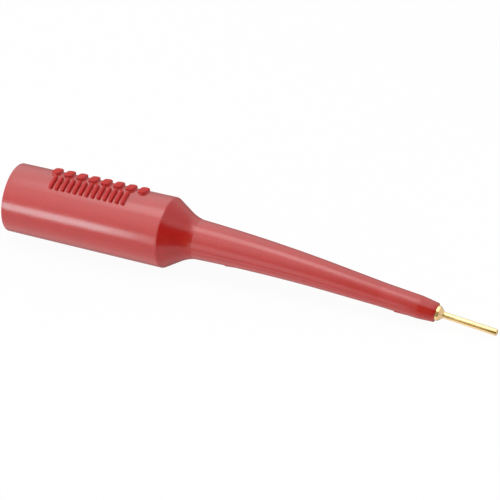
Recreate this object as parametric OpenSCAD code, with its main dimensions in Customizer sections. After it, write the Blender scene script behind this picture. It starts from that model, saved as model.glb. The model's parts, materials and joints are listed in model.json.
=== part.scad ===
// Banana jack to pin-tip adapter, in millimetres.
// A red moulded body holds a 4 mm jack sleeve at one end and a gold-plated pin at the other.
// Inside, a short insulated wire joins the two.
// The origin is the centre of the sleeve's front face. +X runs along the barrel to the pin, +Z is up.
// The long nose droops a little, so places along it are given as stations: distances along the centreline.

/* [Barrel] */
// Diameter at the mouth
mouth_d = 10.9; // [9.6:0.1:12]
// Diameter at the shoulder edge
shoulder_d = 11.2; // [9.6:0.1:12.4]
// Length from the mouth to the shoulder edge
barrel_len = 26.45; // [25.6:0.05:34]
// Rounding of the mouth's outer edge
mouth_round = 0.15; // [0.05:0.05:0.6]
// Rounding of the shoulder edge
shoulder_round = 0.8; // [0.2:0.1:1.5]

/* [Shoulder and nose] */
// Half angle of the shoulder's cone
shoulder_angle = 32; // [26:1:45]
// Radius of the hollow curve between the shoulder and the nose
neck_radius = 7.8; // [4:0.2:9]
// Diameter at which the nose's taper would meet the shoulder's cone
nose_root_d = 6.3; // [5.4:0.1:7]
// Length from the shoulder edge to the nose's end face
nose_len = 43.9; // [42:0.1:60]
// Length of the slimmer tip land, measured back from the end face
land_len = 8.9; // [5:0.1:10.5]
// Diameter where the tip land starts
land_d = 3.75; // [3.5:0.05:4.4]
// Length of the last taper, measured back from the end face
tip_len = 2.65; // [1:0.05:4]
// Diameter where the last taper starts
tip_d = 3.55; // [3.2:0.05:3.7]
// Diameter of the end face
face_d = 3; // [2.8:0.05:3.4]

/* [Droop of the nose] */
// Angle that the nose droops by
droop_angle = 6.5; // [2:0.1:12]
// Distance from the shoulder edge to the start of the droop
droop_lead = 1.5; // [1.5:0.1:3]
// Length of nose over which it droops
droop_run = 26; // [14:0.5:28]

/* [Gate nibs under the nose] */
// Height of the nibs above the nose
nib_h = 0.13; // [0.05:0.01:0.3]
// Angle from the top line to the nibs, towards the near side
nib_roll = 144; // [90:1:180]
// Distance from the shoulder edge to the rear nib's middle
rear_nib_place = 10.95; // [8:0.05:16]
// Length of the rear nib
rear_nib_len = 1.8; // [1:0.1:2.4]
// Width of the rear nib
rear_nib_w = 1; // [0.5:0.05:1.2]
// Distance from the end face back to the front nib's middle
front_nib_place = 4.95; // [4.5:0.05:7]
// Length of the front nib
front_nib_len = 2.6; // [1:0.1:3]
// Width of the front nib
front_nib_w = 0.9; // [0.5:0.05:1]

/* [Raised grip marks] */
// Height of the marks above the barrel
mark_h = 0.45; // [0.2:0.05:0.8]
// Number of grip ribs in the near row
rib_count = 13; // [5:1:16]
// Distance from one rib to the next
rib_pitch = 1.02; // [0.8:0.02:1.3]
// Width of a rib along the barrel
rib_w = 0.52; // [0.3:0.02:0.7]
// Length of a rib around the barrel
rib_len = 2.6; // [1.5:0.1:3.2]
// Distance from the mouth to the first rib
rib_start = 7.3; // [3:0.1:8]
// Angle from the top line to the row of ribs
rib_lean = 14; // [12:1:30]
// Number of oval pips in the far row
pip_count = 8; // [3:1:9]
// Distance from one pip to the next
pip_pitch = 2.1; // [1.8:0.02:2.2]
// Width of a pip along the barrel
pip_w = 1.35; // [0.8:0.05:1.6]
// Length of a pip around the barrel
pip_len = 2.4; // [1.7:0.1:2.8]
// Distance from the mouth to the first pip
pip_start = 6.7; // [3:0.1:7.5]
// Angle from the top line to the row of pips
pip_lean = 17; // [15:1:35]

/* [Jack] */
// Depth of the sleeve's front face behind the mouth
recess_depth = 1.2; // [0.6:0.1:2]
// Diameter of the recess in front of the sleeve
recess_d = 5.2; // [4.6:0.1:5.4]
// Chamfer round the recess's mouth
recess_chamfer = 0.5; // [0.2:0.05:0.8]
// Outer diameter of the sleeve
sleeve_d = 5.6; // [5.5:0.05:6.4]
// Inner diameter of the sleeve, which takes a 4 mm plug
jack_bore_d = 4.06; // [4.04:0.01:4.1]
// Depth of the bore that the plug can use
jack_bore_depth = 19; // [17:0.5:19.5]
// Depth of the seat that the terminal's head is pressed into
head_len = 2; // [1:0.1:2.4]
// Diameter of that seat and of the terminal's head
head_d = 4.5; // [4.3:0.05:4.8]
// Width of each groove that locks the sleeve in the moulding
sleeve_groove_w = 1; // [0.5:0.1:1.5]
// Diameter at the bottom of those grooves
sleeve_groove_d = 5.1; // [4.9:0.05:5.3]
// Number of those grooves
sleeve_grooves = 2; // [1:1:3]
// Distance from the front face to the first groove, and from one groove to the next
sleeve_groove_pitch = 6; // [3:0.5:6]
// Diameter of the terminal's flange, which closes the back of the sleeve
flange_d = 5.6; // [5.2:0.05:6.4]
// Thickness of the flange
flange_t = 0.8; // [0.5:0.1:1]
// Diameter of the terminal's post
post_d = 3; // [2.2:0.1:4]

/* [Wire] */
// Diameter of one strand
strand_d = 0.3; // [0.2:0.01:0.34]
// Distance between the middles of neighbouring strands
strand_pitch = 0.35; // [0.35:0.01:0.38]
// Outer diameter of the wire's jacket
jacket_d = 1.9; // [1.6:0.05:2.1]
// Length of bare strands between each cup and the jacket
bare_len = 1.4; // [1:0.1:2.5]
// Clearance round the bundle of strands in the jacket and the moulding
bundle_clearance = 0.01; // [0.01:0.01:0.03]

/* [Solder cups] */
// Inner diameter of each solder cup
cup_d = 1.4; // [1.25:0.05:1.6]
// Depth of each solder cup
cup_depth = 2.4; // [1.5:0.1:2.4]
// Height of the solder's fillet outside each cup
solder_fillet = 0.5; // [0.2:0.05:0.8]
// Width of the cup's rim that stays bare outside the fillet
bare_rim = 0.2; // [0.1:0.02:0.25]

/* [Pin] */
// Diameter of the pin
pin_d = 1.016; // [0.6:0.001:1.2]
// Length of the pin beyond its cone
pin_len = 8.6; // [5:0.1:14]
// Chamfer at the pin's end
pin_chamfer = 0.14; // [0.05:0.01:0.25]
// Length of the cone between the collar and the pin
cone_len = 0.65; // [0.3:0.05:1.5]
// Diameter of the contact's collar and shank
shank_d = 2.3; // [2.2:0.05:2.5]
// Length of the collar that stands out of the nose
collar_len = 0.45; // [0.2:0.05:1]
// Length of the shank inside the nose
shank_len = 11.3; // [8:0.1:12.5]
// Width of each groove that locks the shank in the moulding
shank_groove_w = 1; // [0.5:0.1:1.2]
// Diameter at the bottom of those grooves
shank_groove_d = 1.8; // [1.6:0.05:2]
// Number of those grooves
shank_grooves = 2; // [1:1:2]
// Distance from the cup's bottom to the first groove, and from one groove to the next
shank_groove_pitch = 2.2; // [1.6:0.1:2.4]

/* [Hidden] */

$fn = 96;
// Steps of an arc in an outline
ARC_STEPS = 8;
// Sides of the swept pieces, and how many steps they take along the droop
NOSE_SIDES = 48;
NOSE_RINGS = 12;
WIRE_SIDES = 24;
STRAND_SIDES = 12;
WIRE_RINGS = 8;
// How far the drooping nose reaches into the parts it joins, and how much slimmer it is there
ROOT_REACH = 0.5;
ROOT_SHARE = 0.85;
// How much slimmer the nose's facets are than the turned forms, so that the surfaces don't coincide
SEAM = 0.008;
// How far a mark reaches into the barrel, and how far a cut runs past a face
SINK = 0.3;
PAST = 1;

red = [0.72, 0.16, 0.16];
dark_red = [0.5, 0.08, 0.08];
nickel = [0.78, 0.78, 0.76];
tinned = [0.82, 0.8, 0.76];
solder_grey = [0.66, 0.67, 0.68];
gold = [0.95, 0.78, 0.4];

// Stations along the centreline
mouth = -recess_depth;
shoulder = mouth + barrel_len;
face = shoulder + nose_len;
droop_start = shoulder + droop_lead;
droop_end = droop_start + droop_run;
sleeve_len = jack_bore_depth + head_len;
flange_end = sleeve_len + flange_t;
post_end = shoulder;
pin_rear = face - shank_len;

// The centreline: straight, then an arc, then straight again
droop_r = droop_run * 180 / (PI * droop_angle);
function tilt(s) = droop_angle * min(max((s - droop_start) / droop_run, 0), 1);
function past_droop(s) = max(s - droop_end, 0);
function centre_x(s) = min(s, droop_start) + droop_r * sin(tilt(s)) + past_droop(s) * cos(droop_angle);
function centre_z(s) = -droop_r * (1 - cos(tilt(s))) - past_droop(s) * sin(droop_angle);

// The outline's straight stretches, as station and radius
mouth_corner = [mouth, mouth_d / 2];
shoulder_corner = [shoulder, shoulder_d / 2];
neck_corner = [shoulder + (shoulder_d - nose_root_d) / 2 / tan(shoulder_angle), nose_root_d / 2];
land_corner = [face - land_len, land_d / 2];
tip_corner = [face - tip_len, tip_d / 2];
face_corner = [face, face_d / 2];

// Points of an arc of radius r that rounds the corner b between the lines to a and to c
function unit(v) = v / norm(v);
function side(a, b, c) = sign((b[0] - a[0]) * (c[1] - b[1]) - (b[1] - a[1]) * (c[0] - b[0]));
function turn(a, b, c) = acos(unit(b - a) * unit(c - b));
function rounded(a, b, c, r) =
    let (from = b - unit(b - a) * r * tan(turn(a, b, c) / 2),
         left = side(a, b, c),
         centre = from + left * r * [-unit(b - a)[1], unit(b - a)[0]],
         first = from - centre)
    [for (i = [0 : ARC_STEPS])
        let (t = left * turn(a, b, c) * i / ARC_STEPS)
        centre + [first[0] * cos(t) - first[1] * sin(t), first[0] * sin(t) + first[1] * cos(t)]];

// The moulding's whole outline, from the mouth to the nose's end face
mouth_arc = rounded([mouth, 0], mouth_corner, shoulder_corner, mouth_round);
shoulder_arc = rounded(mouth_corner, shoulder_corner, neck_corner, shoulder_round);
neck_arc = rounded(shoulder_corner, neck_corner, land_corner, neck_radius);
outline = concat(mouth_arc, shoulder_arc, neck_arc, [land_corner, tip_corner, face_corner]);

// Radius of the outline at a station
function radius_at(s) = lookup(s, outline);

// Turns an outline of [station, radius] points about the centreline's first, straight part
module turned(points) {
    rotate([0, 90, 0])
        rotate_extrude()
            polygon([for (p = points) [p[1], p[0]]]);
}

// Puts what is drawn along +X from the origin at a station, along the centreline
module at_station(s) {
    translate([centre_x(s), 0, centre_z(s)])
        rotate([0, tilt(s), 0])
            children();
}

// A ring of points round the centreline, or round a line beside it by [across, up]
function ring(s, r, sides, beside) =
    [for (i = [0 : sides - 1])
        let (a = 360 * i / sides,
             up = beside[1] + r * sin(a))
        [centre_x(s) + up * sin(tilt(s)), beside[0] + r * cos(a), centre_z(s) + up * cos(tilt(s))]];

// Stations from one place to another in equal steps
function stretch(from, to, count) = [for (i = [0 : count]) from + (to - from) * i / count];

// The bands of facets between rings of points, where ring k starts at point k * sides
function bands(rings, sides) =
    [for (k = [0 : rings - 2]) for (i = [0 : sides - 1])
        let (j = (i + 1) % sides)
        [k * sides + i, (k + 1) * sides + i, (k + 1) * sides + j, k * sides + j]];

// A solid bar along the centreline, whose profile lists [station, radius]
module swept_bar(profile, sides, beside = [0, 0]) {
    count = len(profile);
    points = [for (p = profile) for (q = ring(p[0], p[1], sides, beside)) q];
    first_cap = [for (i = [0 : sides - 1]) i];
    last_cap = [for (i = [1 : sides]) count * sides - i];
    polyhedron(points, concat(bands(count, sides), [first_cap, last_cap]));
}

// The drooping stretch of the nose, which reaches a little way into the turned forms at its ends
neck_end = neck_arc[ARC_STEPS][0];
nose_stations = concat([droop_start],
                       [for (p = neck_arc) if (p[0] > droop_start) p[0]],
                       [for (s = stretch(neck_end, droop_end, NOSE_RINGS)) if (s > neck_end) s]);

module drooping_nose() {
    swept_bar(concat([[droop_start - ROOT_REACH, ROOT_SHARE * radius_at(droop_start)]],
                     [for (s = nose_stations) [s, radius_at(s) - SEAM]],
                     [[droop_end + ROOT_REACH, ROOT_SHARE * radius_at(droop_end)]]),
              NOSE_SIDES);
}

// The turned ends of the moulding's outside
module barrel_form() {
    turned(concat([[mouth, 0]],
                  [for (p = outline) if (p[0] < droop_start) p],
                  [[droop_start, radius_at(droop_start)], [droop_start, 0]]));
}

module tip_form() {
    at_station(droop_end)
        turned([for (p = [[droop_end, 0], [droop_end, radius_at(droop_end)],
                          land_corner, tip_corner, face_corner, [face, 0]])
                    [p[0] - droop_end, p[1]]]);
}

// A raised mark with round ends: a skin over the barrel, kept only inside the mark's outline
module mark_outline(along, around) {
    long_side = max(along, around);
    short_side = min(along, around);
    rotate(around > along ? 90 : 0) {
        square([long_side - short_side, short_side], center = true);
        for (end = [-1, 1])
            translate([end * (long_side - short_side) / 2, 0])
                circle(d = short_side);
    }
}

module marks_skin() {
    first = mouth + min(rib_start, pip_start) - PAST;
    last = shoulder - shoulder_round;
    turned([[first, radius_at(first) - SINK], [first, radius_at(first) + mark_h],
            [last, radius_at(last) + mark_h], [last, radius_at(last) - SINK]]);
}

module mark_row(count, start, pitch, lean, along, around) {
    for (i = [0 : count - 1])
        translate([mouth + start + i * pitch, 0, 0])
            rotate([-lean, 0, 0])
                linear_extrude(shoulder_d)
                    mark_outline(along, around);
}

module grip_marks() {
    intersection() {
        marks_skin();
        union() {
            mark_row(rib_count, rib_start, rib_pitch, -rib_lean, rib_w, rib_len);
            mark_row(pip_count, pip_start, pip_pitch, pip_lean, pip_w, pip_len);
        }
    }
}

// A low wedge left where the plastic was let in, steep towards the barrel and fading towards the tip
module gate_nib(s, length, width) {
    at_station(s)
        rotate([nib_roll, 0, 0])
            translate([0, width / 2, radius_at(s)])
                rotate([90, 0, 0])
                    linear_extrude(width)
                        polygon([[-length / 2, -SINK], [-length / 2, nib_h],
                                 [length / 2, -nib_h / 2], [length / 2, -SINK]]);
}

module gate_nibs() {
    gate_nib(shoulder + rear_nib_place, rear_nib_len, rear_nib_w);
    gate_nib(face - front_nib_place, front_nib_len, front_nib_w);
}

// Outlines of the turned inner pieces, which the moulding's cavity repeats
function groove(s, d, w, depth_d) = [[s, d / 2], [s, depth_d / 2], [s + w, depth_d / 2], [s + w, d / 2]];

sleeve_outline = concat([[0, 0], [0, sleeve_d / 2]],
    [for (i = [1 : sleeve_grooves])
        for (p = groove(i * sleeve_groove_pitch, sleeve_d, sleeve_groove_w, sleeve_groove_d)) p],
    [[sleeve_len, sleeve_d / 2], [sleeve_len, 0]]);

terminal_outline = [[sleeve_len, 0], [sleeve_len, flange_d / 2], [flange_end, flange_d / 2],
    [flange_end, post_d / 2], [post_end, post_d / 2], [post_end, 0]];

cup_bottom = shank_len - cup_depth;
shank_outline = concat([[0, 0], [0, shank_d / 2]],
    [for (i = [1 : shank_grooves])
        for (p = groove(cup_depth + i * shank_groove_pitch, shank_d, shank_groove_w, shank_groove_d)) p],
    [[shank_len + collar_len, shank_d / 2],
     [shank_len + collar_len + cone_len, pin_d / 2],
     [shank_len + collar_len + cone_len + pin_len - pin_chamfer, pin_d / 2],
     [shank_len + collar_len + cone_len + pin_len, pin_d / 2 - pin_chamfer],
     [shank_len + collar_len + cone_len + pin_len, 0]]);

// The wire: one strand in the middle and six round it, in a jacket
strand_places = concat([[0, 0]], [for (i = [0 : 5]) strand_pitch * [cos(60 * i), sin(60 * i)]]);
bundle_d = 2 * strand_pitch + strand_d + 2 * bundle_clearance;
jacket_start = post_end + bare_len;
jacket_end = pin_rear - bare_len;
function wire_profile(from, to, r) =
    [for (s = concat([from], stretch(droop_start, droop_end, WIRE_RINGS), [to])) [s, r]];

module jacket_bar(d) {
    swept_bar(wire_profile(jacket_start, jacket_end, d / 2), WIRE_SIDES);
}

// Solder in a cup that opens towards +X at x = 0: the fill, then a fillet down to the bundle
function solder_outline(rim_d) = [[-cup_depth, 0], [-cup_depth, cup_d / 2], [0, cup_d / 2],
    [0, rim_d / 2 - bare_rim], [solder_fillet, bundle_d / 2], [solder_fillet, 0]];

module solder_fill(rim_d) {
    difference() {
        turned(solder_outline(rim_d));
        for (p = strand_places)
            translate([-cup_depth - PAST, p[0], p[1]])
                rotate([0, 90, 0])
                    cylinder(d = strand_d, h = cup_depth + solder_fillet + 2 * PAST);
    }
}

// Draws what belongs to the pin's cup, which opens back towards the jack
module at_pin_cup() {
    at_station(pin_rear)
        rotate([0, 0, 180])
            children();
}

// The moulding's bore round a bare stretch of the strands
module bundle_bore(from) {
    at_station(from)
        rotate([0, 90, 0])
            cylinder(d = bundle_d, h = bare_len);
}

// The space that the inner pieces take in the moulding
module inner_space() {
    translate([mouth, 0, 0])
        turned([[-PAST, 0], [-PAST, recess_d / 2 + recess_chamfer + PAST],
                [recess_chamfer, recess_d / 2], [recess_depth, recess_d / 2], [recess_depth, 0]]);
    turned(sleeve_outline);
    turned(terminal_outline);
    translate([post_end, 0, 0])
        turned(solder_outline(post_d));
    at_pin_cup()
        turned(solder_outline(shank_d));
    bundle_bore(post_end);
    bundle_bore(pin_rear - bare_len);
    jacket_bar(jacket_d);
    at_station(pin_rear)
        turned(shank_outline);
}

module body_moulding() {
    color(red)
        difference() {
            union() {
                barrel_form();
                drooping_nose();
                tip_form();
                gate_nibs();
                grip_marks();
            }
            inner_space();
        }
}

module jack_sleeve() {
    color(nickel)
        difference() {
            turned(sleeve_outline);
            turned([[-PAST, 0], [-PAST, jack_bore_d / 2], [jack_bore_depth, jack_bore_d / 2],
                    [jack_bore_depth, head_d / 2], [sleeve_len + PAST, head_d / 2], [sleeve_len + PAST, 0]]);
        }
}

module jack_terminal() {
    color(nickel)
        difference() {
            union() {
                turned([[jack_bore_depth, 0], [jack_bore_depth, head_d / 2],
                        [sleeve_len, head_d / 2], [sleeve_len, 0]]);
                turned(terminal_outline);
            }
            turned([[post_end - cup_depth, 0], [post_end - cup_depth, cup_d / 2],
                    [post_end + PAST, cup_d / 2], [post_end + PAST, 0]]);
        }
}

module jack_solder() {
    color(solder_grey)
        translate([post_end, 0, 0])
            solder_fill(post_d);
}

module wire_strands() {
    color(tinned)
        for (place = strand_places)
            swept_bar(wire_profile(post_end - cup_depth, pin_rear + cup_depth, strand_d / 2),
                      STRAND_SIDES, place);
}

module wire_jacket() {
    color(dark_red)
        difference() {
            jacket_bar(jacket_d);
            swept_bar(wire_profile(jacket_start - PAST, jacket_end + PAST, bundle_d / 2), WIRE_SIDES);
        }
}

module pin_solder() {
    color(solder_grey)
        at_pin_cup()
            solder_fill(shank_d);
}

module pin_contact() {
    color(gold)
        at_station(pin_rear)
            difference() {
                turned(shank_outline);
                turned([[-PAST, 0], [-PAST, cup_d / 2], [cup_depth, cup_d / 2], [cup_depth, 0]]);
            }
}

body_moulding();
jack_sleeve();
jack_terminal();
jack_solder();
wire_strands();
wire_jacket();
pin_solder();
pin_contact();
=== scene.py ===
"""Looks of a banana jack to pin-tip adapter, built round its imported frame.

The red moulding, the gold pin contact and the nickel jack are modelled here in full and stand for their
CAD nodes. The wire inside and its solder keep their CAD meshes and get a finish. Lengths in the classes
are millimetres, and the scales of textures are per metre. Places along the drooping nose are stations:
distances along the centreline from the front face of the jack's sleeve.
"""

import json
import logging
import math
from collections.abc import Callable
from dataclasses import dataclass
from enum import Enum

import bpy
from mathutils import Euler, Matrix, Vector

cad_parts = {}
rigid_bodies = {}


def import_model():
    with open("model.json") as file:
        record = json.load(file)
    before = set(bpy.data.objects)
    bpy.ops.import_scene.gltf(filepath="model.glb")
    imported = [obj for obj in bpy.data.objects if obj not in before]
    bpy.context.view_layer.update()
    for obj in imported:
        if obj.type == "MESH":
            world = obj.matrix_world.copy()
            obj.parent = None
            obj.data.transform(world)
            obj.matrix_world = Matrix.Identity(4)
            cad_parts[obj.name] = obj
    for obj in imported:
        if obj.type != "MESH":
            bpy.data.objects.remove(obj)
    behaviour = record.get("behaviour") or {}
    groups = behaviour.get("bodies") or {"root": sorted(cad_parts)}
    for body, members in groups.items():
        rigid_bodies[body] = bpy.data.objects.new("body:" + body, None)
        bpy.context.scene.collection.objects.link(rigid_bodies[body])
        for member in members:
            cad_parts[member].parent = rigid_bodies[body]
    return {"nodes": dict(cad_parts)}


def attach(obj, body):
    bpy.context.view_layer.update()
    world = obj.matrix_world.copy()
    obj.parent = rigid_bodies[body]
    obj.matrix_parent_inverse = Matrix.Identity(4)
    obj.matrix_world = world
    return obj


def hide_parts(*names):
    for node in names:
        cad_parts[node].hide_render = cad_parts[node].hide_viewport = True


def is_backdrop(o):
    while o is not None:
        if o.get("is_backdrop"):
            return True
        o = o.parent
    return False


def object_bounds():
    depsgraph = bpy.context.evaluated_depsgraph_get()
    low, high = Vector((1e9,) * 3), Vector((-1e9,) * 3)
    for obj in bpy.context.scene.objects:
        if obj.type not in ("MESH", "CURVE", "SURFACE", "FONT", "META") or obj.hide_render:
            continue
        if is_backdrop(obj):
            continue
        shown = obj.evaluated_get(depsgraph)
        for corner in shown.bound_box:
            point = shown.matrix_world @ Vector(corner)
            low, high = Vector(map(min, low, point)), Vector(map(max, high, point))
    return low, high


Pair = tuple[float, float]
Triple = tuple[float, float, float]
Socket = bpy.types.NodeSocket

LOG = logging.getLogger("adapter")
MM = 0.001
BODY = "root"
WHITE = (1.0, 1.0, 1.0, 1.0)


class Reach(Enum):
    """What a lamp does, as two switches: it lights the adapter, and it shows in the gloss."""

    LIGHT_AND_GLOSS = (True, True)
    LIGHT = (True, False)
    GLOSS = (False, True)


@dataclass(frozen=True)
class Corner:
    """A corner of a turned outline."""

    station: float
    radius: float
    rounding: float = 0.0  # radius of the arc that rounds it, or 0 for a sharp corner
    steps: int = 6  # of that arc


@dataclass(frozen=True)
class Ring:
    """A ring round the centreline, by station and radius."""

    station: float
    radius: float


@dataclass(frozen=True)
class Centreline:
    """The adapter's centreline: straight, then an arc that droops, then straight again."""

    droop_start: float = 26.75  # station where the arc starts
    droop_run: float = 26.0  # length of the arc
    droop_angle: float = math.radians(6.5)  # by which it droops in all

    def tilt(self, station: float) -> float:
        """Angle in radians by which the centreline droops at a station."""
        share = (station - self.droop_start) / self.droop_run
        return self.droop_angle * min(max(share, 0.0), 1.0)

    def point(self, station: float) -> Vector:
        """Place of a station.

        Args:
            station: Distance along the centreline.

        Returns:
            The place in metres.
        """
        bend_radius = self.droop_run / self.droop_angle
        angle = self.tilt(station)
        past = max(station - self.droop_start - self.droop_run, 0.0)
        x = min(station, self.droop_start) + bend_radius * math.sin(angle) + past * math.cos(self.droop_angle)
        z = -bend_radius * (1.0 - math.cos(angle)) - past * math.sin(self.droop_angle)
        return Vector((x, 0.0, z)) * MM

    def height_at(self, x: float) -> float:
        """Height of the centreline over a place along X.

        Args:
            x: The place in metres.

        Returns:
            The height in metres.
        """
        bend_radius = self.droop_run / self.droop_angle * MM
        beyond = max(x - self.droop_start * MM, 0.0)
        run = min(beyond, bend_radius * math.sin(self.droop_angle))
        drop = bend_radius - math.sqrt(bend_radius**2 - run**2)
        return -drop - (beyond - run) * math.tan(self.droop_angle)

    def place(self, station: float, roll: float, radius: float) -> Matrix:
        """Matrix that puts a piece drawn in millimetres on the adapter's skin.

        Args:
            station: Place along the centreline.
            roll: Angle in degrees from the top to the piece, towards -Y.
            radius: Radius of the skin there.

        Returns:
            A matrix that takes local +X along the centreline and local +Z outwards.
        """
        turn = Matrix.Rotation(self.tilt(station), 4, "Y") @ Matrix.Rotation(math.radians(roll), 4, "X")
        lift = Matrix.Translation((0.0, 0.0, radius * MM))
        return Matrix.Translation(self.point(station)) @ turn @ lift @ Matrix.Scale(MM, 4)


def rounded(before: Corner, corner: Corner, after: Corner) -> list[Ring]:
    """Rings of the arc that rounds a corner between its neighbours.

    Args:
        before: The corner that comes before.
        corner: The corner to round.
        after: The corner that comes after.

    Returns:
        The arc's rings, or the corner itself where it is sharp.
    """
    if corner.rounding <= 0.0:
        return [Ring(corner.station, corner.radius)]
    here = Vector((corner.station, corner.radius))
    into = (here - Vector((before.station, before.radius))).normalized()
    out = (Vector((after.station, after.radius)) - here).normalized()
    turn = into.angle_signed(out)
    start = here - into * corner.rounding * math.tan(abs(turn) / 2.0)
    side = math.copysign(1.0, -turn)
    centre = start + Vector((-into.y, into.x)) * corner.rounding * side
    rings = []
    for step in range(corner.steps + 1):
        spoke = start - centre
        spoke.rotate(Matrix.Rotation(-turn * step / corner.steps, 2))
        rings.append(Ring(*(centre + spoke)))
    return rings


def trace(corners: list[Corner], longest: float) -> list[Ring]:
    """Rings along a closed turned outline.

    Args:
        corners: The outline's corners in order, which closes from the last to the first.
        longest: Longest stretch between two rings.

    Returns:
        The rings in order.
    """
    rings: list[Ring] = []
    for index, corner in enumerate(corners):
        for ring in rounded(corners[index - 1], corner, corners[(index + 1) % len(corners)]):
            if rings:
                last = rings[-1]
                span = ring.station - last.station
                parts = max(math.ceil(abs(span) / longest), 1)
                for part in range(1, parts):
                    share = part / parts
                    radius = last.radius + (ring.radius - last.radius) * share
                    rings.append(Ring(last.station + span * share, radius))
            rings.append(ring)
    return rings


def start_fresh() -> None:
    """Leaves edit mode and deselects everything."""
    if bpy.context.object and bpy.context.object.mode != "OBJECT":
        bpy.ops.object.mode_set(mode="OBJECT")
    bpy.ops.object.select_all(action="DESELECT")


def only(piece: bpy.types.Object) -> None:
    """Makes a piece the only selected object and the active one.

    Args:
        piece: The object.
    """
    start_fresh()
    piece.select_set(True)
    bpy.context.view_layer.objects.active = piece


def edit(piece: bpy.types.Object) -> None:
    """Opens a piece alone in edit mode."""
    only(piece)
    bpy.ops.object.mode_set(mode="EDIT")


def bake_place(piece: bpy.types.Object) -> None:
    """Moves a piece's place, turn and size into its mesh."""
    only(piece)
    bpy.ops.object.transform_apply(location=True, rotation=True, scale=True)


def select_vertices(piece: bpy.types.Object, wanted: Callable[[Vector], bool]) -> None:
    """Selects the vertices that a test wants, and leaves the piece in edit mode.

    Args:
        piece: The mesh object.
        wanted: A test that takes a vertex's place.
    """
    edit(piece)
    bpy.ops.mesh.select_mode(type="VERT")
    bpy.ops.mesh.select_all(action="DESELECT")
    bpy.ops.object.mode_set(mode="OBJECT")
    for vertex in piece.data.vertices:
        vertex.select = wanted(vertex.co)
    bpy.ops.object.mode_set(mode="EDIT")


def cut_through(point: Triple, normal: Triple) -> None:
    """Cuts the piece in edit mode along a plane, by a point of the plane and its normal."""
    bpy.ops.mesh.select_all(action="SELECT")
    bpy.ops.mesh.bisect(plane_co=point, plane_no=normal)


def round_edges(width: float, segments: int) -> None:
    """Rounds the selected edges of the piece in edit mode."""
    bpy.ops.mesh.bevel(offset=width, offset_type="OFFSET", segments=segments, profile=0.5, affect="EDGES")


def smooth(piece: bpy.types.Object, degrees: float) -> bpy.types.Object:
    """Shades a piece smooth but for its sharp edges.

    Args:
        piece: The mesh object.
        degrees: Angle from which an edge counts as sharp.

    Returns:
        The same piece.
    """
    only(piece)
    bpy.ops.object.shade_smooth_by_angle(angle=math.radians(degrees))
    return piece


def dress(thing: bpy.types.Object, finish: bpy.types.Material) -> None:
    """Gives a mesh its finish in place of any that it has.

    Args:
        thing: The mesh object.
        finish: Its new finish.
    """
    thing.data.materials.clear()
    thing.data.materials.append(finish)
    LOG.info("%s: %d faces in %s", thing.name, len(thing.data.polygons), finish.name)


@dataclass(frozen=True)
class TurnedShell:
    """A closed shell round the centreline, drawn by extruding one ring from the next."""

    line: Centreline
    sides: int  # vertices in a ring
    longest: float  # stretch between two rings

    def build(self, name: str, corners: list[Corner]) -> bpy.types.Object:
        """Draws the shell.

        Args:
            name: Name of the new piece.
            corners: The closed outline. It runs on round to its start, or from a pole to a pole: a
                corner with radius 0 at its start and its end.

        Returns:
            The shell, with its place in its mesh and its faces turned outwards.
        """
        poles = corners[0].radius == 0.0
        rings = [ring for ring in trace(corners, self.longest) if ring.radius > 0.0]
        first = rings[0]
        start_fresh()
        bpy.ops.mesh.primitive_circle_add(
            vertices=self.sides,
            radius=first.radius * MM,
            fill_type="NOTHING",
            location=self.line.point(first.station),
            rotation=(0.0, math.pi / 2.0 + self.line.tilt(first.station), 0.0),
        )
        shell = bpy.context.object
        shell.name = shell.data.name = name
        bake_place(shell)
        edit(shell)
        bpy.ops.mesh.select_all(action="SELECT")
        if poles:
            self._close_pole(first)
        for last, ring in zip(rings, rings[1:]):
            self._extrude(last, ring)
        if poles:
            self._close_pole(rings[-1])
        else:
            self._extrude(rings[-1], first)
        bpy.ops.mesh.select_all(action="SELECT")
        bpy.ops.mesh.remove_doubles(threshold=MM * 1e-4)
        bpy.ops.mesh.normals_make_consistent(inside=False)
        bpy.ops.object.mode_set(mode="OBJECT")
        return shell

    def _extrude(self, last: Ring, ring: Ring) -> None:
        """Extrudes the selected ring to the next one.

        Args:
            last: The selected ring.
            ring: The next one.
        """
        centre = self.line.point(ring.station)
        move = centre - self.line.point(last.station)
        bpy.ops.mesh.extrude_region_move(TRANSFORM_OT_translate={"value": move})
        grow = ring.radius / last.radius
        bpy.ops.transform.resize(value=(grow, grow, grow), center_override=centre)
        turn = self.line.tilt(ring.station) - self.line.tilt(last.station)
        if turn:
            # With no window, the operator turns the other way.
            bpy.ops.transform.rotate(value=-turn, orient_axis="Y", center_override=centre)

    def _close_pole(self, ring: Ring) -> None:
        """Closes the selected ring with a disc that stays flat, and leaves the ring selected.

        Args:
            ring: The selected ring.
        """
        bpy.ops.mesh.edge_face_add()
        bpy.ops.mesh.inset(thickness=ring.radius * MM * 0.5)
        bpy.ops.mesh.poke()
        bpy.ops.mesh.select_more()
        bpy.ops.mesh.region_to_loop()


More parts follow.
